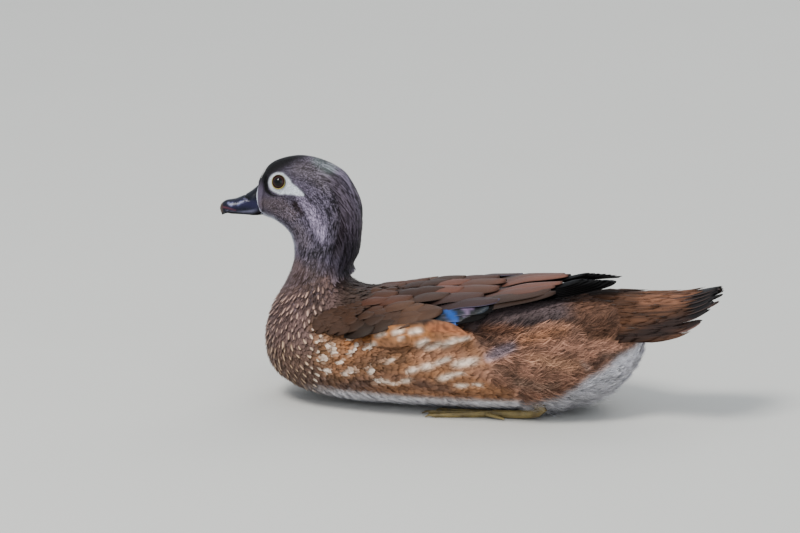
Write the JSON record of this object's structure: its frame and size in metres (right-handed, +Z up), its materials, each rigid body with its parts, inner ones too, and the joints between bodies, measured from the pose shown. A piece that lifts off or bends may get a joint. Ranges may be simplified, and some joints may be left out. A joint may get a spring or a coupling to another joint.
{
  "type": "wood duck",
  "caption": "Life-size hen wood duck with folded wings, crested head and short bill, resting level on the flat of its belly.",
  "frame": {"origin": "on the floor, under the middle of the bird's whole length and on its midline", "axes": "+X towards the tail, -X towards the bill, -Y towards the bird's left side, +Z up from the floor"},
  "size_m": [0.3658, 0.1252, 0.1776],
  "materials": {
    "body": "soft feathering, brown with buff streaks on the breast and orange-brown flanks spotted white",
    "neck": "soft grey-brown feathering",
    "head": "fine grey-brown feathering with a faint purple gloss and a white patch round the eye",
    "crest": "long smooth dark feathers with a faint green and purple gloss",
    "bill": "glossy blue-black horn",
    "eye": "polished, dark brown",
    "wing": "brown vanes with a satin mauve gloss, a blue patch and black flight feathers",
    "tail": "satin brown vanes with black tips",
    "leg": "scaled skin, dull yellow-brown with dark webs"
  },
  "bodies": {
    "root": {"torso": "body", "neck": "neck", "head": "head", "crest": "crest", "bill_upper": "bill", "bill_lower": "bill", "eye_left": "eye", "eye_right": "eye", "wing_left": "wing", "wing_right": "wing", "tail": "tail", "leg_left": "leg", "leg_right": "leg", "foot_left": "leg", "foot_right": "leg"}
  },
  "joints": []
}
